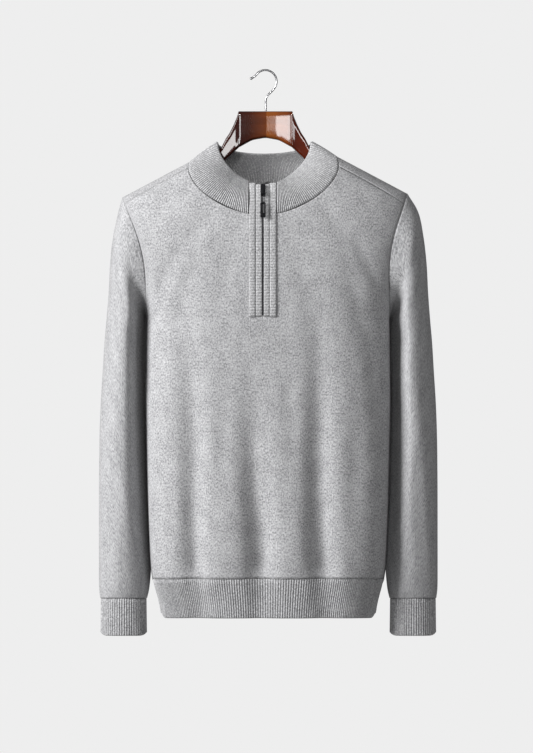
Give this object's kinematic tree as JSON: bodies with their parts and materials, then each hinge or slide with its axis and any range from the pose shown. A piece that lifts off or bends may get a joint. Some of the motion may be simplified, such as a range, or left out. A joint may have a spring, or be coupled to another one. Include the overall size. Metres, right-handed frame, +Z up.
{
  "type": "quarter zip sweater on hanger",
  "caption": "Long-sleeved quarter zip sweater with ribbed collar, cuffs and hem, hanging on a wooden hanger with a wire hook.",
  "frame": {"origin": "inside of the hook's crown, the point that a rail or peg carries", "axes": "+X to the right as seen from the front, +Y towards the back, +Z up; the front faces -Y"},
  "size_m": [0.5094, 0.1678, 0.8528],
  "materials": {
    "plain_knit": "felted heather jersey",
    "rib_knit": "heather rib",
    "dark_metal": "dark gunmetal",
    "lacquered_wood": "gloss lacquer",
    "hook_chrome": "polished"
  },
  "bodies": {
    "garment": {"front": "plain_knit", "back": "plain_knit", "sleeve_left": "plain_knit", "sleeve_right": "plain_knit", "cuff_left": "rib_knit", "cuff_right": "rib_knit", "hem_rib_front": "rib_knit", "hem_rib_back": "rib_knit", "collar": "rib_knit", "placket_left": "rib_knit", "placket_right": "rib_knit", "zip_edge_left": "rib_knit", "zip_edge_right": "rib_knit", "zip_teeth": "dark_metal", "zip_slider": "dark_metal", "hanger_wood": "lacquered_wood", "hanger_hook": "hook_chrome"},
    "pull_tab": {"zip_pull": "dark_metal"}
  },
  "joints": [
    {"name": "pull_hinge", "type": "hinge", "parent": "garment", "child": "pull_tab", "pos_m": [-0.0038, -0.06879, -0.18408], "axis": [-1, 0, 0], "range_deg": [0, 150]}
  ]
}
